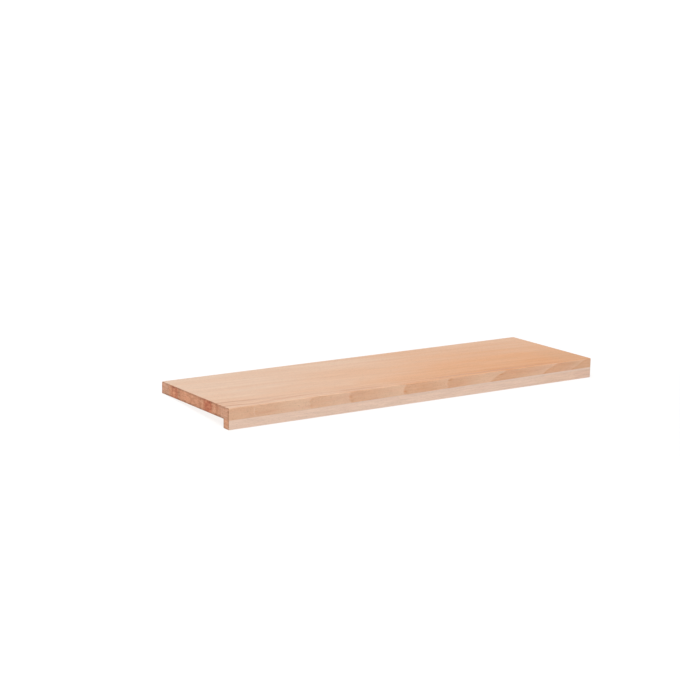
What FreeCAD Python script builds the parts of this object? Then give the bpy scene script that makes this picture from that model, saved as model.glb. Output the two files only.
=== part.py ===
import FreeCAD, Part
import math
import os

# Stair tread in beech for laying over an old step: a flat board with a lip glued under its front edge.
# Millimetres. X runs along the tread, the front edge looks towards -Y, and Z is up.
# The origin lies under the middle of the tread, level with the lip's lower face.

# Driving dimensions
tread_length = 800.0
tread_depth = 230.0
board_thickness = 21.0
lip_width = 16.5
lip_drop = 16.5
arris_radius = 2.0

# Places that follow from them
left_x = -tread_length / 2
front_y = -tread_depth / 2
back_y = tread_depth / 2
lip_back_y = front_y + lip_width
lip_bottom_z = 0.0
underside_z = lip_bottom_z + lip_drop
top_z = underside_z + board_thickness

# How near two places are to count as the same one
same_place = 1e-6


def moulding(section):
    """A straight solid as long as the tread, from a closed section of (y, z) corners."""
    corners = [FreeCAD.Vector(left_x, y, z) for y, z in section]
    outline = Part.makePolygon(corners + corners[:1])
    return Part.Face(outline).extrude(FreeCAD.Vector(tread_length, 0, 0))


def edges_at_height(solid, z):
    """The edges that lie in the level plane at z."""
    return [
        edge
        for edge in solid.Edges
        if all(math.isclose(end.Z, z, abs_tol=same_place) for end in edge.Vertexes)
    ]


def upright_edges(solid, y):
    """The upright edges at the solid's two ends, at the depth y."""
    return [
        edge
        for edge in solid.Edges
        if math.isclose(edge.BoundBox.ZLength, edge.Length, abs_tol=same_place)
        and math.isclose(edge.CenterOfMass.y, y, abs_tol=same_place)
    ]


def make_board():
    """The board, with its top arrises and its four corners eased.

    Its underside is two faces in one plane, which meet above the back of the lip:
    the strip that the lip is glued to, and the bed that lies on the old step.
    """
    board = moulding(
        [
            (front_y, underside_z),
            (lip_back_y, underside_z),
            (back_y, underside_z),
            (back_y, top_z),
            (front_y, top_z),
        ]
    )
    arrises = edges_at_height(board, top_z) + upright_edges(board, front_y) + upright_edges(board, back_y)
    return board.makeFillet(arris_radius, arrises)


def make_lip():
    """The lip, flush with the board's front and ends, with its lower arrises and front corners eased."""
    lip = moulding(
        [
            (front_y, lip_bottom_z),
            (lip_back_y, lip_bottom_z),
            (lip_back_y, underside_z),
            (front_y, underside_z),
        ]
    )
    arrises = edges_at_height(lip, lip_bottom_z) + upright_edges(lip, front_y)
    return lip.makeFillet(arris_radius, arrises)


pieces = {
    "tread_board": make_board(),
    "nosing_lip": make_lip(),
}

os.makedirs("parts", exist_ok=True)
for name, piece in pieces.items():
    piece.exportStep(f"parts/{name}.step")
    print(f"{name}: {piece.Volume / 1000:.1f} cm3, valid {piece.isValid()}")
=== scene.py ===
import logging
import math
from dataclasses import dataclass, field, replace
from enum import Enum
from typing import Any, Optional, Union

import bpy
import numpy as np
from mathutils import Matrix, Vector


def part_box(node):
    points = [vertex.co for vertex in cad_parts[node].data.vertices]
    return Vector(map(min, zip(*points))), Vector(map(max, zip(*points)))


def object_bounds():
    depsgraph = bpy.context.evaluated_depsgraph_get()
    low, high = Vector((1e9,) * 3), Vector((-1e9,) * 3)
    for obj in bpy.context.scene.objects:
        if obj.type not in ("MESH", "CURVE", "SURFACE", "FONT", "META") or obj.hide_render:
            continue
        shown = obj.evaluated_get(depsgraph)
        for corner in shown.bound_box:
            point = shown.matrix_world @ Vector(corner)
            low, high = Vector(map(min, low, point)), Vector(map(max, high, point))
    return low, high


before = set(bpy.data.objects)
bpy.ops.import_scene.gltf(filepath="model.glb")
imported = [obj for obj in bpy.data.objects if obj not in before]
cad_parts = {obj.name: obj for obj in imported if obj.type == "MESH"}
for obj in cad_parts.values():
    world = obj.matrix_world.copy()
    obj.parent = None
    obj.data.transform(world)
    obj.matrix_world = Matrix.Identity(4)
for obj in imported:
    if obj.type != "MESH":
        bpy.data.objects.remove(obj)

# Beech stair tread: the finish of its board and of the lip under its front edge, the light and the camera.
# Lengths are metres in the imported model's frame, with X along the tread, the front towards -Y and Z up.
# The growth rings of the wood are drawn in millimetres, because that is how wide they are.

LOG = logging.getLogger("stair_tread")
CAD_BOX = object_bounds()
PICTURE_WIDTH_PX = 680
MM = 0.001

# The sRGB curve
SCREEN_WHITE = 255.0
SRGB_FOOT = 0.04045
SRGB_FOOT_SLOPE = 12.92
SRGB_OFFSET = 0.055
SRGB_POWER = 2.4

Colour = tuple[float, float, float]
Point = tuple[float, float, float]

BLACK: Colour = (0.0, 0.0, 0.0)
WHITE: Colour = (1.0, 1.0, 1.0)


def linear(red: int, green: int, blue: int) -> Colour:
    """Turn a colour as a screen shows it, 0 to 255, into the linear one that a shader takes.

    Args:
        red: The red level.
        green: The green level.
        blue: The blue level.

    Returns:
        The linear red, green and blue, by the sRGB curve.
    """
    levels = np.array([red, green, blue]) / SCREEN_WHITE
    steep = ((levels + SRGB_OFFSET) / (1.0 + SRGB_OFFSET)) ** SRGB_POWER
    curve = np.where(levels <= SRGB_FOOT, levels / SRGB_FOOT_SLOPE, steep)
    return tuple(float(level) for level in curve)


class Signal:
    """A number that varies over a surface, with operators that add Math nodes."""

    def __init__(self, tree: "FinishTree", socket: bpy.types.NodeSocket) -> None:
        """Keep the tree and the output socket that carries the number."""
        self.tree = tree
        self.socket = socket

    def __add__(self, other: "Operand") -> "Signal":
        """Sum."""
        return self.tree.math("ADD", self, other)

    def __radd__(self, other: "Operand") -> "Signal":
        """Sum, with the number first."""
        return self.tree.math("ADD", other, self)

    def __sub__(self, other: "Operand") -> "Signal":
        """Difference."""
        return self.tree.math("SUBTRACT", self, other)

    def __rsub__(self, other: "Operand") -> "Signal":
        """Difference, with the number first."""
        return self.tree.math("SUBTRACT", other, self)

    def __mul__(self, other: "Operand") -> "Signal":
        """Product."""
        return self.tree.math("MULTIPLY", self, other)

    def __rmul__(self, other: "Operand") -> "Signal":
        """Product, with the number first."""
        return self.tree.math("MULTIPLY", other, self)

    def __truediv__(self, other: "Operand") -> "Signal":
        """Quotient."""
        return self.tree.math("DIVIDE", self, other)

    def __rtruediv__(self, other: "Operand") -> "Signal":
        """Quotient, with the number first."""
        return self.tree.math("DIVIDE", other, self)

    def __abs__(self) -> "Signal":
        """Distance from zero."""
        return self.tree.math("ABSOLUTE", self)

    def root(self) -> "Signal":
        """Square root."""
        return self.tree.math("SQRT", self)

    def whole(self) -> "Signal":
        """The whole number below."""
        return self.tree.math("FLOOR", self)

    def part(self) -> "Signal":
        """What is left above the whole number below."""
        return self.tree.math("FRACT", self)

    def greater(self, other: "Operand") -> "Signal":
        """The greater of two numbers."""
        return self.tree.math("MAXIMUM", self, other)

    def step(self, low: float, high: float) -> "Signal":
        """A smooth step.

        Args:
            low: Where the step starts to rise from 0.
            high: Where it reaches 1. It may lie below low, and the step then falls.

        Returns:
            The step's height at this number.
        """
        rising = low < high
        ends = {"From Min": min(low, high), "From Max": max(low, high)}
        span = {"To Min": 0.0 if rising else 1.0, "To Max": 1.0 if rising else 0.0}
        settings = {"interpolation_type": "SMOOTHSTEP"}
        node = self.tree.node("ShaderNodeMapRange", settings, {"Value": self, **ends, **span})
        return Signal(self.tree, node.outputs["Result"])


Operand = Union[float, Signal]


class FinishTree:
    """The node tree of one material, written as expressions on Signals.

    Attributes:
        mix_inputs: Numbers of a Mix node's sockets for the share and for the two colours.
        mix_output: Number of its socket for the blend.
        noise_middle: The level that the values of a Noise node lie about.
    """

    mix_inputs = (0, 6, 7)
    mix_output = 2
    noise_middle = 0.5

    def __init__(self, tree: bpy.types.NodeTree) -> None:
        """Take over a node tree and empty it."""
        self.tree = tree
        self.tree.nodes.clear()

    def node(
        self,
        kind: str,
        settings: Optional[dict[str, Any]] = None,
        inputs: Optional[dict[Union[str, int], Any]] = None,
    ) -> bpy.types.Node:
        """Add one node.

        Args:
            kind: The node's type.
            settings: Its properties, set before its sockets. The name points stands for the points of a
                curve.
            inputs: Values, Signals or output sockets by the name or number of the input socket.

        Returns:
            The new node.
        """
        node = self.tree.nodes.new(kind)
        for name, value in (settings or {}).items():
            if name == "points":
                self._draw_curve(node, value)
            else:
                setattr(node, name, value)
        for name, value in (inputs or {}).items():
            source = value.socket if isinstance(value, Signal) else value
            if isinstance(source, bpy.types.NodeSocket):
                self.tree.links.new(source, node.inputs[name])
            else:
                node.inputs[name].default_value = source
        return node

    @staticmethod
    def _draw_curve(node: bpy.types.Node, points: list[tuple[float, float]]) -> None:
        """Lay a Float Curve through points, and carry it on straight past both ends.

        Args:
            node: The Float Curve node.
            points: The points, from left to right.
        """
        node.mapping.extend = "EXTRAPOLATED"
        node.mapping.use_clip = False
        curve = node.mapping.curves[0]
        while len(curve.points) < len(points):
            curve.points.new(1.0, 1.0)
        for handle, place in zip(curve.points, points):
            handle.location = place
        node.mapping.update()

    def math(self, operation: str, *operands: Operand) -> Signal:
        """Add a Math node.

        Args:
            operation: The node's operation.
            operands: Its numbers or Signals, in order.

        Returns:
            Its result.
        """
        node = self.node("ShaderNodeMath", {"operation": operation}, dict(enumerate(operands)))
        return Signal(self, node.outputs[0])

    def axes(self, vector: bpy.types.NodeSocket) -> tuple[Signal, Signal, Signal]:
        """Split a vector into its three numbers."""
        node = self.node("ShaderNodeSeparateXYZ", None, {"Vector": vector})
        return tuple(Signal(self, output) for output in node.outputs)

    def vector(self, x: Operand, y: Operand, z: Operand) -> bpy.types.NodeSocket:
        """Join three numbers into a vector."""
        return self.node("ShaderNodeCombineXYZ", None, {"X": x, "Y": y, "Z": z}).outputs[0]

    def noise(self, place: bpy.types.NodeSocket, detail: float, roughness: float) -> Signal:
        """Add smooth noise.

        Args:
            place: Where the noise is read, in its own wavelengths.
            detail: How many finer layers are added.
            roughness: How strong the finer layers are.

        Returns:
            The noise, which strays about as far below zero as above it.
        """
        inputs = {"Vector": place, "Scale": 1.0, "Detail": detail, "Roughness": roughness}
        return Signal(self, self.node("ShaderNodeTexNoise", None, inputs).outputs[0]) - self.noise_middle

    def mix(self, share: Operand, first: Any, second: Any) -> bpy.types.NodeSocket:
        """Blend two colours.

        Args:
            share: How much of the second colour there is, 0 to 1.
            first: A colour or a colour socket.
            second: A colour or a colour socket.

        Returns:
            The blend's colour socket.
        """
        settings = {"data_type": "RGBA", "clamp_factor": True}
        values = (share, self._opaque(first), self._opaque(second))
        node = self.node("ShaderNodeMix", settings, dict(zip(self.mix_inputs, values)))
        return node.outputs[self.mix_output]

    def scale(self, colour: bpy.types.NodeSocket, factor: Signal) -> bpy.types.NodeSocket:
        """Lighten or darken a colour by a factor."""
        inputs = {"Vector": colour, "Scale": factor}
        return self.node("ShaderNodeVectorMath", {"operation": "SCALE"}, inputs).outputs[0]

    @staticmethod
    def _opaque(colour: Any) -> Any:
        """Give a plain colour the alpha that a colour socket holds."""
        return (*colour, 1.0) if isinstance(colour, tuple) else colour


@dataclass(frozen=True)
class Layer:
    """A layer of smooth noise that follows the grain.

    Attributes:
        waves: Its wavelengths along the tread, across the rings and in height, in millimetres.
        strength: How strongly it changes what it is added to, in the unit of that.
        detail: How many finer layers are added.
        roughness: How strong the finer layers are.
    """

    waves: tuple[float, float, float]
    strength: float
    detail: float = 2.0
    roughness: float = 0.5


@dataclass(frozen=True)
class Spots:
    """Spots, which are where a layer of noise stands high.

    Attributes:
        layer: The noise. Its strength is that of a full spot.
        low: The level of the noise, about zero, at which a spot starts.
        high: The level at which it is full.
    """

    layer: Layer
    low: float
    high: float


@dataclass(frozen=True)
class Ring:
    """One growth ring on the front edge.

    Attributes:
        mark: Where its late wood starts, in millimetres from the left end.
        depth: How dark its late wood is, 0 to 1.
        fade: How much of the ring's length the late wood takes to fade. Above 1 it is cut off by the next
            ring.
    """

    mark: float
    depth: float
    fade: float = 0.8


@dataclass(frozen=True)
class Rings:
    """How the growth rings lie in a piece of wood, in millimetres.

    Attributes:
        pith: Depth behind the tread's front and height of the rings' centre, at the left end.
        pith_fall: How far the centre falls along the tread.
        fall_along: Where along the tread it starts and ends to fall.
        oval: How much the rings are squeezed in height, 1 for round ones.
        run_out: How far the rings move towards the front for each millimetre along the tread.
        front: The rings that meet the front edge, from the left end. Those behind repeat their darkness.
        edge: How much of a ring's length its sharp start takes, 0 to 1.
        wander: How far the rings behind the front stray along the tread.
        ragged: How far the starts of all rings stray from a smooth curve.
        wander_behind: How far behind the front the first straying begins, and where it is full.
        late_level: How dark the late wood is on the whole, 0 to 1.
        uneven: How much darker or lighter it is in places.
        fading: Where in its fade the late wood is gone, and where it begins to go, 0 to 1.
        core: How dark the late wood is in patches close to its start.
        core_reach: How far the patches reach, in lengths of the sharp start.
    """

    pith: tuple[float, float]
    pith_fall: float
    fall_along: tuple[float, float]
    oval: float
    run_out: float
    front: tuple[Ring, ...]
    edge: float
    wander: Layer
    ragged: Layer
    wander_behind: tuple[float, float] = (0.0, 30.0)
    late_level: float = 0.7
    uneven: Layer = Layer((60.0, 25.0, 4.0), 1.2, 3.0)
    fading: tuple[float, float] = (1.0, 0.3)
    core: Layer = Layer((24.0, 6.0, 5.0), 5.0)
    core_reach: float = 3.0


@dataclass(frozen=True)
class EndBand:
    """A band of end grain that is redder or paler than the rest, in millimetres across the rings.

    Attributes:
        centre: How far behind the front it lies.
        half_width: How far it reaches to each side.
        share: How red it is, 0 to 1, or below zero how pale.
        dark: How dark it is beside that, 0 to 1.
        core: How much of the half width is full, 0 to 1.
    """

    centre: float
    half_width: float
    share: float
    dark: float = 0.0
    core: float = 0.4


@dataclass(frozen=True)
class Vein:
    """A streak of another tone that tapers along the grain, in millimetres.

    Attributes:
        start: How far from the left end and how far behind the front it starts.
        end: Where it tapers out.
        half_width: Half its width.
        share: How much of its tone it has at its middle, 0 to 1.
        tone: Its colour.
        rise: How much of its length it takes to come up, 0 to 1.
        taper: How much of its length it takes to taper out, 0 to 1.
    """

    start: tuple[float, float]
    end: tuple[float, float]
    half_width: float
    share: float
    tone: Colour
    rise: float = 0.15
    taper: float = 0.5


@dataclass(frozen=True)
class Sapwood:
    """A wedge of pale sapwood along the foot of the front edge, in millimetres.

    Attributes:
        start: Where along the tread it starts to rise.
        rise: How high it stands at the right end.
        tone: Its colour.
        blur: How far its crest is blurred to each side.
        reach: How far behind the front it ends, and how far behind it is still full.
    """

    start: float
    rise: float
    tone: Colour
    blur: float = 0.4
    reach: tuple[float, float] = (60.0, 20.0)


@dataclass(frozen=True)
class Tones:
    """The colours of a piece of beech.

    Attributes:
        pale: Side grain where it is palest.
        warm: Side grain where it is warmest.
        late: The late wood of a ring.
        blush: Side grain where it is pinkest.
        end: End grain.
        end_pale: End grain where it is palest.
        end_red: End grain where it is reddest.
    """

    pale: Colour
    warm: Colour
    late: Colour
    blush: Colour
    end: Colour
    end_pale: Colour
    end_red: Colour


class Cut(Enum):
    """Which way a piece was sawn from the log."""

    STANDING_RINGS = "rings stand on edge, along the front"
    LYING_RINGS = "rings lie flat, one above another"


@dataclass(frozen=True)
class Beech:
    """One piece of planed beech.

    Attributes:
        name: The material's name.
        cut: Which way the piece was sawn.
        rings: How its growth rings lie.
        tones: Its colours.
        front_contrast: How strongly the rings show at the front, 0 to 1.
        back_contrast: How strongly they show far behind the front, 0 to 1.
        warming: How much the wood warms from the left end to the right end, from the back to the front at
            the left end, and from the back to the front at the right end.
        edge_warmth: How warm it is on the front and back edges, 0 to 1, at the left end and at the right
            end.
        bands: The redder and the paler bands of the end grain.
        veins: The streaks of another tone.
        sapwood: The sapwood on the front edge.
        wobble: How far the veins stray sideways, in millimetres.
        cloud: Slow changes of warmth.
        streak: Broad streaks along the grain.
        fibre: Fine lines along the grain.
        fleck: Short dark flecks, a few millimetres long.
        year_mm: How wide the finest rings on the end grain are.
        year_shade: How dark they end, 0 to 1.
        year: How far they stray, in their own widths.
        pore: Pores of the end grain.
        ray: Sheets of ray cells, which cross the rings.
        ray_line: Thin pale lines of those cells on the end grain.
        pinkness: Where the side grain is pink.
        mottle: Changes of redness over the end grain.
        fleece: Fine light and dark over the end grain.
    """

    name: str
    cut: Cut
    rings: Rings
    tones: Tones
    front_contrast: float
    back_contrast: float
    warming: tuple[float, float, float]
    edge_warmth: tuple[float, float]
    bands: tuple[EndBand, ...]
    veins: tuple[Vein, ...] = ()
    sapwood: Optional[Sapwood] = None
    wobble: Layer = Layer((25.0, 60.0, 60.0), 7.0)
    cloud: Layer = Layer((220.0, 40.0, 40.0), 0.65, 3.0)
    streak: Layer = Layer((240.0, 11.0, 11.0), 0.18, 3.0)
    fibre: Layer = Layer((60.0, 1.6, 1.6), 0.24, 3.0, 0.6)
    fleck: Spots = Spots(Layer((3.0, 0.45, 0.45), 0.2, 0.0), 0.12, 0.25)
    year_mm: float = 2.3
    year_shade: float = 0.16
    year: Layer = Layer((300.0, 30.0, 14.0), 2.4, 2.0)
    pore: Spots = Spots(Layer((3.0, 0.4, 0.4), 0.32, 0.0), 0.06, 0.2)
    ray: Layer = Layer((3.2, 40.0, 4.0), 0.5, 3.0)
    ray_line: Spots = Spots(Layer((12.0, 9.0, 0.5), 0.14, 1.0), 0.08, 0.2)
    pinkness: Layer = Layer((70.0, 20.0, 9.0), 2.0, 2.0)
    mottle: Layer = Layer((40.0, 9.0, 7.0), 0.9, 3.0)
    fleece: Layer = Layer((30.0, 13.0, 4.0), 2.0, 5.0, 0.72)


# Tones of the veins
BOARD_BROWN = linear(208, 156, 127)
BOARD_DUN = linear(200, 173, 147)
BOARD_AMBER = linear(230, 170, 124)
LIP_ROSE = linear(226, 183, 153)
LIP_PINK = linear(224, 185, 164)

BOARD_BEECH = Beech(
    name="board_beech",
    cut=Cut.STANDING_RINGS,
    rings=Rings(
        pith=(360.0, 27.0),
        pith_fall=20.0,
        fall_along=(440.0, 575.0),
        oval=1.7,
        run_out=0.07,
        front=(
            Ring(-24.0, 0.53, 1.1),
            Ring(48.0, 0.5),
            Ring(157.5, 0.4, 0.9),
            Ring(239.0, 0.6, 0.9),
            Ring(356.5, 0.83, 1.35),
            Ring(453.0, 0.66, 0.8),
            Ring(566.0, 0.78, 1.0),
            Ring(690.0, 0.79, 1.3),
            Ring(762.0, 0.83),
        ),
        edge=0.045,
        wander=Layer((300.0, 14.0, 40.0), 25.0),
        ragged=Layer((45.0, 40.0, 6.0), 12.0),
    ),
    tones=Tones(
        pale=linear(234, 203, 179),
        warm=BOARD_AMBER,
        late=linear(213, 147, 102),
        blush=linear(222, 168, 142),
        end=linear(224, 160, 124),
        end_pale=linear(226, 178, 151),
        end_red=linear(198, 112, 82),
    ),
    front_contrast=0.72,
    back_contrast=0.25,
    warming=(0.4, 0.14, 0.58),
    edge_warmth=(0.36, 0.48),
    bands=(
        EndBand(15.0, 19.0, -0.5, 0.03),
        EndBand(39.5, 4.5, 0.15, 0.14),
        EndBand(70.0, 18.0, 0.75),
        EndBand(168.0, 5.0, 0.15, 0.08),
        EndBand(184.0, 16.0, 0.55),
        EndBand(214.0, 16.0, -0.5, 0.05),
    ),
    veins=(
        Vein((-30.0, 44.0), (130.0, 27.0), 5.0, 0.85, BOARD_BROWN),
        Vein((-30.0, 21.0), (105.0, 4.0), 5.0, 0.85, BOARD_BROWN),
        Vein((50.0, 12.0), (230.0, 23.0), 6.0, 0.5, BOARD_BROWN),
        Vein((225.0, 13.0), (345.0, 5.0), 9.0, 0.45, BOARD_BROWN),
        Vein((270.0, 46.0), (520.0, 40.0), 34.0, 0.32, BOARD_AMBER),
        Vein((400.0, 12.0), (780.0, 4.0), 4.5, 0.9, BOARD_BROWN),
        Vein((705.0, 45.0), (1100.0, 45.0), 100.0, 0.24, BOARD_DUN),
    ),
    sapwood=Sapwood(100.0, 3.7, linear(234, 204, 185)),
)

LIP_BEECH = Beech(
    name="lip_beech",
    cut=Cut.LYING_RINGS,
    rings=Rings(
        pith=(60.0, -140.0),
        pith_fall=10.0,
        fall_along=(0.0, 800.0),
        oval=1.0,
        run_out=0.012,
        front=(Ring(100.0, 0.5), Ring(310.0, 0.8), Ring(540.0, 0.4), Ring(760.0, 0.7)),
        edge=0.05,
        wander=Layer((300.0, 14.0, 40.0), 60.0),
        ragged=Layer((45.0, 40.0, 6.0), 20.0),
    ),
    tones=Tones(
        pale=linear(238, 207, 187),
        warm=linear(235, 202, 180),
        late=LIP_ROSE,
        blush=linear(234, 197, 177),
        end=linear(230, 167, 131),
        end_pale=linear(230, 181, 153),
        end_red=linear(207, 139, 103),
    ),
    front_contrast=0.3,
    back_contrast=0.3,
    warming=(0.3, 0.2, 0.2),
    edge_warmth=(0.35, 0.35),
    bands=(EndBand(8.0, 6.0, 0.4),),
    veins=(
        Vein((650.0, 4.0), (1050.0, 4.0), 60.0, 0.28, LIP_ROSE),
        Vein((752.0, 4.0), (862.0, 4.0), 60.0, 0.5, LIP_PINK),
    ),
    streak=Layer((200.0, 6.0, 6.0), 0.24, 3.0),
    fibre=Layer((40.0, 1.8, 1.8), 0.44, 3.0, 0.6),
    fleck=Spots(Layer((4.0, 0.6, 0.6), 0.16, 0.0), 0.12, 0.25),
)


@dataclass
class Tread:
    """The tread's two pieces and the places of their faces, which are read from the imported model.

    Attributes:
        board: Name of the board's node.
        lip: Name of the lip's node.
        left: Where the left end is.
        right: Where the right end is.
        front: Where the front is.
        back: Where the back edge is.
        lip_back: Where the lip's inner side is.
        lip_bottom: Height of the lip's foot.
        underside: Height of the board's underside.
        top: Height of the board's top.
    """

    board: str = "tread_board"
    lip: str = "nosing_lip"
    left: float = field(init=False)
    right: float = field(init=False)
    front: float = field(init=False)
    back: float = field(init=False)
    lip_back: float = field(init=False)
    lip_bottom: float = field(init=False)
    underside: float = field(init=False)
    top: float = field(init=False)

    def __post_init__(self) -> None:
        """Read the places from the frame."""
        low, high = CAD_BOX
        self.left, self.front, self.lip_bottom = low
        self.right, self.back, self.top = high
        self.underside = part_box(self.board)[0][2]
        self.lip_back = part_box(self.lip)[1][1]

    def dress(self) -> None:
        """Give each piece its own wood."""
        for node, wood in ((self.board, BOARD_BEECH), (self.lip, LIP_BEECH)):
            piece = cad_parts[node]
            piece.data.materials.clear()
            piece.data.materials.append(BeechFinish(wood, node, self).build())
            LOG.info("%s: %s, %s", node, wood.name, wood.cut.value)


class BeechFinish:
    """Solid beech as a field in space, so that its figure runs on from face to face.

    A point's ring is told by where the ring's surface would meet the front edge. On the side grain each
    ring starts with a sharp edge of dark late wood and fades to pale early wood. Fine fibres follow the
    rings along the tread.

    Attributes:
        face_turn: How squarely a surface faces an axis, 0 to 1, where it begins to count as that face, and
            where it counts in full.
        arris_turn: How squarely it faces the nearest axis where an arris begins, and where it is full.
        arris_painted_highlight: How much paler an arris is, as a share: a painted highlight.
        rim_mm: How far the dark rim of an end reaches in.
        rim_shade: How dark the rim is, as a share.
        joint_half_width_mm: Half the width of the line of the glued joint.
        joint_shade: How dark the line is, as a share.
        contrast_reach_mm: How far behind the front the rings begin to grow faint, and where they are faint.
        warmth_along_mm: Where along the tread the wood begins to warm, and where it is warmest.
        warmth_behind_mm: How far behind the front the wood begins to cool, and where it is coolest.
        streak_warmth: How warm a broad streak is, for how dark it is.
        streak_shade: How much of a broad streak is shade.
        band_stray_mm: How far the mottle moves the bands of the end grain.
        fleece_redness: How red the fleece is where it is dark.
        fleece_shade: How much of the fleece is shade.
        late_shade: How dark the late wood is on the end grain, as a share.
        year_rise: Where in a fine ring its dark part begins, and where it is full, 0 to 1.
        end_lightness: How light the end grain is, 1 for its colour as written.
        side_roughness: How rough the side grain is.
        end_roughness: How rough the end grain is.
        gloss: How strongly the wood reflects.
        relief_m: How high the fine relief is, in metres.
        relief_strength: How much of the relief shows, 0 to 1.
    """

    face_turn = (0.35, 0.85)
    arris_turn = (0.99, 0.8)
    # Painted highlight: the eased arrises are drawn paler, as if they caught the light.
    arris_painted_highlight = 0.02
    rim_mm = 5.0
    rim_shade = 0.3
    joint_half_width_mm = 0.25
    joint_shade = 0.15
    contrast_reach_mm = (5.0, 60.0)
    warmth_along_mm = (50.0, 660.0)
    warmth_behind_mm = (0.0, 270.0)
    streak_warmth = 2.0
    streak_shade = 0.5
    band_stray_mm = 18.0
    fleece_redness = 1.3
    fleece_shade = 0.45
    late_shade = 0.15
    year_rise = (0.3, 1.0)
    end_lightness = 1.06
    side_roughness = 0.58
    end_roughness = 0.72
    gloss = 0.2
    relief_m = 0.0002
    relief_strength = 0.25

    def __init__(self, wood: Beech, piece: str, tread: Tread) -> None:
        """Start an empty material for a piece of the tread.

        Args:
            wood: The wood's rings and colours.
            piece: Name of the piece's node.
            tread: Where the tread's corners are.
        """
        self.wood = wood
        self.piece = piece
        self.tread = tread
        self.material = bpy.data.materials.new(wood.name)
        self.material.use_nodes = True
        self.tree = FinishTree(self.material.node_tree)
        coordinates = self.tree.node("ShaderNodeTexCoord")
        x, y, z = self.tree.axes(coordinates.outputs["Object"])
        self.along = (x - tread.left) / MM
        self.behind = (y - tread.front) / MM
        self.height = z / MM
        self.length = (tread.right - tread.left) / MM
        self.facing = tuple(abs(axis) for axis in self.tree.axes(coordinates.outputs["Normal"]))
        self.depth = self.ring_depth()

    def ring_depth(self) -> Signal:
        """Depth of a point across the rings, in millimetres.

        It is how much nearer the point is to the pith than the middle of the board's front edge is, by an
        oval distance, plus the run-out gathered along the tread. The pith falls along the tread.

        Returns:
            The depth, which is the run-out alone along the middle of the front edge.
        """
        rings = self.wood.rings
        pith_depth, pith_height = rings.pith
        middle = (self.tread.underside + self.tread.top) / 2.0 / MM
        fall = self.along.step(*rings.fall_along) * rings.pith_fall

        def distance(behind: Operand, height: Operand) -> Signal:
            """Measure the oval distance from the pith.

            Args:
                behind: How far behind the front a point is.
                height: How high it is.

            Returns:
                The distance, in millimetres.
            """
            aside = behind - pith_depth
            above = (height - pith_height + fall) * rings.oval
            return (aside * aside + above * above).root()

        return distance(0.0, middle) - distance(self.behind, self.height) + self.along * rings.run_out

    def ring_number(self) -> Signal:
        """Which ring a point is in, with the part of the way through it.

        The place where the point's ring meets the front edge is looked up on a curve through the marks.
        Behind the front the rings stray from it.

        Returns:
            The number, whole where a ring's late wood starts.
        """
        rings = self.wood.rings
        count = len(rings.front)
        stray = self.noise(rings.wander) * self.behind.step(*rings.wander_behind)
        meets = self.depth / rings.run_out + (stray + self.noise(rings.ragged))
        points = [(ring.mark / self.length, i / count) for i, ring in enumerate(rings.front)]
        curve = self.tree.node("ShaderNodeFloatCurve", {"points": points}, {"Value": meets / self.length})
        return Signal(self.tree, curve.outputs[0]) * count

    def late_wood(self, number: Signal) -> Signal:
        """How dark a point is in its ring.

        Late wood starts sharply, fades slowly, and is darker in some rings than in others.

        Args:
            number: The point's ring number.

        Returns:
            The darkness, 0 to 1.
        """
        rings = self.wood.rings
        place = number.part()
        depth = self.by_ring(number, [ring.depth for ring in rings.front])
        fade = self.by_ring(number, [ring.fade for ring in rings.front])
        level = self.noise(rings.uneven) + rings.late_level
        core = self.noise(rings.core).greater(0.0) * place.step(rings.core_reach * rings.edge, rings.edge)
        faded = (place / fade).step(*rings.fading) * level + core
        return place.step(0.0, rings.edge) * faded * depth

    def by_ring(self, number: Signal, values: list[float]) -> Signal:
        """Look up a number that each ring has of its own, at the middle of the ring's stretch of a curve.

        Args:
            number: The point's ring number.
            values: The numbers of the rings at the front, which repeat behind it.

        Returns:
            The number of the point's ring.
        """
        count = len(values)
        turn = (number.whole() / count).part() + 0.5 / count
        points = [((i + 0.5) / count, value) for i, value in enumerate(values)]
        curve = self.tree.node("ShaderNodeFloatCurve", {"points": points}, {"Value": turn})
        return Signal(self.tree, curve.outputs[0])

    def noise(self, layer: Layer) -> Signal:
        """Read a layer of noise along the grain.

        Args:
            layer: The layer.

        Returns:
            The noise about zero, times the layer's strength.
        """
        places = (self.along, self.depth, self.height)
        scaled = self.tree.vector(*(place / wave for place, wave in zip(places, layer.waves)))
        return self.tree.noise(scaled, layer.detail, layer.roughness) * layer.strength

    def spots(self, spots: Spots) -> Signal:
        """Read a layer of noise as spots.

        Args:
            spots: The spots.

        Returns:
            How strong they are, from 0 to the layer's strength.
        """
        plain = replace(spots.layer, strength=1.0)
        return self.noise(plain).step(spots.low, spots.high) * spots.layer.strength

    def veined(self, colour: bpy.types.NodeSocket) -> bpy.types.NodeSocket:
        """Lay the veins over a colour.

        Args:
            colour: The side grain without them.

        Returns:
            The colour with the tone of each vein laid in, most at its middle and less towards its sides and
            its ends.
        """
        wobble = self.noise(self.wood.wobble)
        for vein in self.wood.veins:
            (start, start_behind), (end, end_behind) = vein.start, vein.end
            way = (self.along - start) / (end - start)
            aside = abs(self.behind - (way * (end_behind - start_behind) + start_behind) + wobble)
            lengthwise = way.step(0.0, vein.rise) * way.step(1.0, 1.0 - vein.taper)
            share = aside.step(vein.half_width, 0.0) * lengthwise * vein.share
            colour = self.tree.mix(share, colour, vein.tone)
        return colour

    def sapwood(self) -> Signal:
        """Pale sapwood along the foot of the front edge, which rises towards the right end.

        Returns:
            Its share, 0 to 1.
        """
        wedge = self.wood.sapwood
        foot = self.tread.underside / MM
        crest = (self.along - wedge.start) * (wedge.rise / (self.length - wedge.start)) + foot
        return (crest - self.height).step(-wedge.blur, wedge.blur) * self.behind.step(*wedge.reach)

    def end_share(self) -> Signal:
        """How much of the end grain shows: all on the two ends, and less over the eased arrises."""
        return self.facing[0].step(*self.face_turn)

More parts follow.
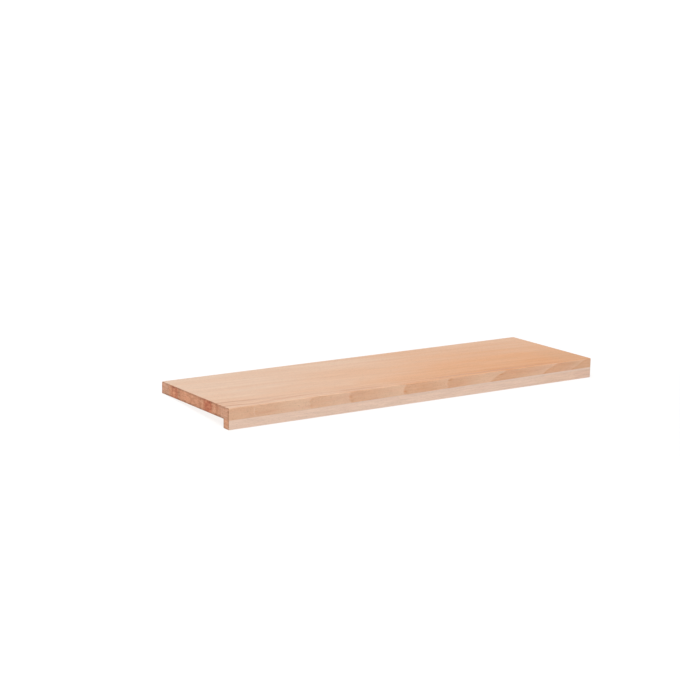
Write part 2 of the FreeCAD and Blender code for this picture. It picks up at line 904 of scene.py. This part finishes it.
    def arris(self) -> Signal:
        """Where an arris is eased, which is where the surface faces none of the three axes."""
        nearest = self.facing[0].greater(self.facing[1]).greater(self.facing[2])
        return nearest.step(*self.arris_turn)

    def side_grain(self, late: Signal) -> bpy.types.NodeSocket:
        """Colour of the side grain.

        Args:
            late: The late wood.

        Returns:
            The colour, warmer towards the right end and the front, with rings, streaks, fibres and flecks.
        """
        tree, wood = self.tree, self.wood
        along_share, left_share, right_share = wood.warming
        streak = self.noise(wood.streak)
        rightward = self.along.step(*self.warmth_along_mm)
        frontward = 1.0 - self.behind.step(*self.warmth_behind_mm)
        front_share = left_share + rightward * (right_share - left_share)
        warmth = rightward * along_share + frontward * front_share
        warmth = warmth + self.noise(wood.cloud) - streak * self.streak_warmth
        edge = self.facing[1].step(*self.face_turn)
        left_edge, right_edge = wood.edge_warmth
        edge_warmth = left_edge + rightward * (right_edge - left_edge)
        warmth = warmth + edge * (edge_warmth - warmth)
        gain = wood.front_contrast - wood.back_contrast
        contrast = wood.front_contrast - self.behind.step(*self.contrast_reach_mm) * gain
        colour = tree.mix(warmth, wood.tones.pale, wood.tones.warm)
        colour = tree.mix(self.noise(wood.pinkness) * edge, colour, wood.tones.blush)
        colour = self.veined(tree.mix(late * contrast, colour, wood.tones.late))
        if wood.sapwood:
            colour = tree.mix(self.sapwood() * edge, colour, wood.sapwood.tone)
        shade = 1.0 + streak * self.streak_shade + self.noise(wood.fibre) - self.spots(wood.fleck)
        return tree.scale(colour, shade)

    def end_grain(self, late: Signal) -> bpy.types.NodeSocket:
        """Colour of the end grain.

        Args:
            late: The late wood.

        Returns:
            The colour, with redder bands along the rings, rays across them and pores.
        """
        tree, wood = self.tree, self.wood
        mottle = self.noise(wood.mottle)
        fleece = self.noise(wood.fleece)
        ragged = self.depth + mottle * self.band_stray_mm
        redness = mottle - fleece * self.fleece_redness
        years = (self.depth / wood.year_mm + self.noise(wood.year)).part()
        darkness = late * self.late_shade + years.step(*self.year_rise) * wood.year_shade
        darkness = darkness + self.rim() * self.rim_shade
        darkness = darkness + self.spots(wood.pore) - self.spots(wood.ray_line)
        for band in wood.bands:
            inside = abs(ragged - band.centre).step(band.half_width, band.core * band.half_width)
            redness = redness + inside * band.share
            darkness = darkness + inside * band.dark
        colour = tree.mix(redness * -1.0, wood.tones.end, wood.tones.end_pale)
        colour = tree.mix(redness, colour, wood.tones.end_red)
        shade = self.end_lightness + self.noise(wood.ray) + fleece * self.fleece_shade - darkness
        return tree.scale(colour, shade)

    def rim(self) -> Signal:
        """Where the end grain is darker, along the outline of an end but not along the glued joint.

        Returns:
            The rim's share, 1 on the outline itself.
        """
        tread = self.tread
        to_lip_back = (tread.lip_back - tread.front) / MM - self.behind
        insets = [self.behind]
        if self.piece == tread.lip:
            insets += [to_lip_back, self.height - tread.lip_bottom / MM]
        else:
            over_lip = to_lip_back.greater(0.0)
            over_bed = self.height - tread.underside / MM
            insets += [
                (over_lip * over_lip + over_bed * over_bed).root(),
                (tread.back - tread.front) / MM - self.behind,
                tread.top / MM - self.height,
            ]
        rim: Operand = 0.0
        for inset in insets:
            rim = inset.step(self.rim_mm, 0.0).greater(rim)
        return rim

    def build(self) -> bpy.types.Material:
        """Lay the wood's colour, gloss and fine relief.

        Returns:
            The finished material.
        """
        tree = self.tree
        late = self.late_wood(self.ring_number())
        end_share = self.end_share()
        colour = tree.mix(end_share, self.side_grain(late), self.end_grain(late))
        to_joint = abs(self.height - self.tread.underside / MM)
        joint = to_joint.step(self.joint_half_width_mm, 0.0) * (1.0 - end_share)
        # The eased arrises get a painted highlight, and the glued joint gets a dark line.
        colour = tree.scale(colour, 1.0 + self.arris() * self.arris_painted_highlight - joint * self.joint_shade)
        fibre = self.noise(self.wood.fibre)
        roughness = self.side_roughness + end_share * (self.end_roughness - self.side_roughness) + fibre
        relief = tree.node(
            "ShaderNodeBump",
            None,
            {
                "Strength": self.relief_strength,
                "Distance": self.relief_m,
                "Height": fibre / self.wood.fibre.strength - self.spots(self.wood.fleck),
            },
        )
        shader = tree.node(
            "ShaderNodeBsdfPrincipled",
            None,
            {
                "Base Color": colour,
                "Roughness": roughness,
                "Specular IOR Level": self.gloss,
                "Normal": relief.outputs[0],
            },
        )
        tree.node("ShaderNodeOutputMaterial", None, {"Surface": shader.outputs[0]})
        return self.material


@dataclass(frozen=True)
class Lamp:
    """A soft square lamp.

    Attributes:
        name: The lamp's name.
        towards: Direction from the tread to the lamp.
        distance: How far away it stands.
        side: Length of its sides.
        level: Light that it lays on a surface square to it. At 1 a colour shows as it is written.
    """

    name: str
    towards: Point
    distance: float
    side: float
    level: float

    def hang(self, aim: Vector) -> None:
        """Make the lamp and point it at the tread.

        Its energy is pi squared times the level times the distance squared, because a lamp's light and a
        dull surface's both spread over half a sphere, and the light thins by the square of the distance.

        Args:
            aim: The point that it looks at.
        """
        data = bpy.data.lights.new(self.name, "AREA")
        data.shape = "SQUARE"
        data.size = self.side
        data.energy = self.level * math.pi**2 * self.distance**2
        lamp = bpy.data.objects.new(self.name, data)
        direction = Vector(self.towards).normalized()
        lamp.location = aim + direction * self.distance
        lamp.rotation_euler = direction.to_track_quat("Z", "Y").to_euler()
        bpy.context.scene.collection.objects.link(lamp)


@dataclass(frozen=True)
class Studio:
    """The floor, the light round about and the lamps.

    Attributes:
        floor_reach: Half the floor's length and width.
        floor_glow: How white the floor looks to the camera of itself, near the tread.
        floor_shown: How much of the light on it the floor shows to the camera. The shadow is in this.
        shadow_reach: How far from the middle the floor begins to turn plain white, and where it is.
        sky: Light from all round above.
        ground: Light from all round below, as a lit floor sends it up.
        horizon: How far above and below level the sky blends with the ground.
        lamps: The lamps.
    """

    floor_reach: float = 60.0
    floor_glow: float = 0.8
    floor_shown: float = 0.23
    shadow_reach: tuple[float, float] = (0.5, 1.2)
    sky: float = 0.45
    ground: float = 1.0
    horizon: float = 0.02
    lamps: tuple[Lamp, ...] = (Lamp("key_lamp", (-0.3, -0.33, 0.89), 9.0, 6.4, 0.66),)

    def build(self, tread: Tread) -> None:
        """Lay the floor and hang the lamps.

        Args:
            tread: The tread that lies on the floor.
        """
        self._lay_floor(tread)
        self._light_sky()
        for lamp in self.lamps:
            lamp.hang(Vector((0.0, 0.0, tread.underside)))
        LOG.info("studio: floor, sky and %d lamps", len(self.lamps))

    def _lay_floor(self, tread: Tread) -> None:
        """Lay the floor as a flat sheet that touches the lip's inner arris and the board's back arris.

        Unheld, the tread leans back on those two. The floor's height is that of the lip's foot plus the
        slope times the way behind the lip's inner side. Light that has bounced off the tread passes it, so
        that the underside is lit from below.

        Args:
            tread: The tread that lies on it.
        """
        slope = (tread.underside - tread.lip_bottom) / (tread.back - tread.lip_back)
        reach = np.array([-self.floor_reach, self.floor_reach])
        x, y = np.meshgrid(reach, reach)
        z = tread.lip_bottom + slope * (y - tread.lip_back)
        corners = np.stack([x, y, z], axis=-1).reshape(-1, 3)
        mesh = bpy.data.meshes.new("floor")
        mesh.from_pydata(corners.tolist(), [], [(0, 1, 3, 2)])
        floor = bpy.data.objects.new("floor", mesh)
        floor.visible_diffuse = False
        bpy.context.scene.collection.objects.link(floor)
        mesh.materials.append(self._floor_finish())

    def _floor_finish(self) -> bpy.types.Material:
        """White to the camera, with the tread's shadow left in, and clear from below.

        Returns:
            The floor's material.
        """
        material = bpy.data.materials.new("floor_white")
        material.use_nodes = True
        tree = FinishTree(material.node_tree)
        x, y, _ = tree.axes(tree.node("ShaderNodeTexCoord").outputs["Object"])
        far = (x * x + y * y).root().step(*self.shadow_reach)
        glow = self._seen(tree) * (self.floor_glow + far * (1.0 - self.floor_glow))
        grey = (self.floor_shown, self.floor_shown, self.floor_shown, 1.0)
        above = tree.node(
            "ShaderNodeBsdfPrincipled",
            None,
            {
                "Base Color": grey,
                "Roughness": 1.0,
                "Specular IOR Level": 0.0,
                "Emission Color": tree.mix(glow, BLACK, WHITE),
                "Emission Strength": 1.0,
            },
        )
        clear = tree.node("ShaderNodeBsdfTransparent")
        below = tree.node("ShaderNodeNewGeometry").outputs["Backfacing"]
        sides = {0: below, 1: above.outputs[0], 2: clear.outputs[0]}
        floor = tree.node("ShaderNodeMixShader", None, sides)
        tree.node("ShaderNodeOutputMaterial", None, {"Surface": floor.outputs[0]})
        return material

    def _light_sky(self) -> None:
        """Light the scene from all round, and show white where the camera sees past the floor."""
        world = bpy.data.worlds.new("studio")
        world.use_nodes = True
        bpy.context.scene.world = world
        tree = FinishTree(world.node_tree)
        _, _, rise = tree.axes(tree.node("ShaderNodeTexCoord").outputs["Generated"])
        level = self.sky + rise.step(self.horizon, -self.horizon) * (self.ground - self.sky)
        strength = level + self._seen(tree) * (1.0 - level)
        sky = tree.node("ShaderNodeBackground", None, {"Color": (*WHITE, 1.0), "Strength": strength})
        tree.node("ShaderNodeOutputWorld", None, {"Surface": sky.outputs[0]})

    @staticmethod
    def _seen(tree: FinishTree) -> Signal:
        """Tell what the camera sees from light on its way.

        Args:
            tree: The tree that asks.

        Returns:
            1 for what the camera sees, straight, in a reflection or through glass, and 0 for the rest.
        """
        path = tree.node("ShaderNodeLightPath")
        camera, glossy, through = (
            Signal(tree, path.outputs[f"Is {kind} Ray"]) for kind in ("Camera", "Glossy", "Transmission")
        )
        return camera.greater(glossy).greater(through)


@dataclass(frozen=True)
class Viewpoint:
    """The camera.

    Attributes:
        place: Where it stands.
        turn: How far it is turned from +Y towards +X, in degrees.
        tilt: How far it looks up, in degrees.
        roll: How far its right side is lifted, in degrees.
        focal_px: Its focal length in pixels of the picture.
        sensor_mm: How wide its sensor is.
        sight: How far it sees.
    """

    place: Point = (-1.849, -2.546, 0.739)
    turn: float = 34.472
    tilt: float = -11.652
    roll: float = 1.1
    focal_px: float = 1762.4
    sensor_mm: float = 36.0
    sight: float = 300.0

    def build(self) -> None:
        """Make the camera and set it as the scene's own.

        Its right, up and back directions are worked out from the turn and the tilt, and then rolled.
        """
        turn, tilt, roll = (math.radians(angle) for angle in (self.turn, self.tilt, self.roll))
        level = Vector((math.cos(turn), -math.sin(turn), 0.0))
        ahead = Vector((math.sin(turn) * math.cos(tilt), math.cos(turn) * math.cos(tilt), math.sin(tilt)))
        upright = level.cross(ahead)
        right = level * math.cos(roll) + upright * math.sin(roll)
        up = upright * math.cos(roll) - level * math.sin(roll)
        data = bpy.data.cameras.new("camera")
        data.sensor_width = self.sensor_mm
        data.lens = self.focal_px / PICTURE_WIDTH_PX * self.sensor_mm
        data.clip_end = self.sight
        camera = bpy.data.objects.new("camera", data)
        axes = Matrix((right, up, -ahead)).transposed().to_4x4()
        camera.matrix_world = Matrix.Translation(self.place) @ axes
        bpy.context.scene.collection.objects.link(camera)
        bpy.context.scene.camera = camera
        LOG.info("camera: lens %.1f mm at %s", data.lens, self.place)


def main() -> None:
    """Dress the tread, light it and set the camera."""
    logging.basicConfig(level=logging.INFO, format="%(name)s: %(message)s")
    bpy.context.scene.view_settings.view_transform = "Standard"
    tread = Tread()
    tread.dress()
    Studio().build(tread)
    Viewpoint().build()


if __name__ == "__main__":
    main()
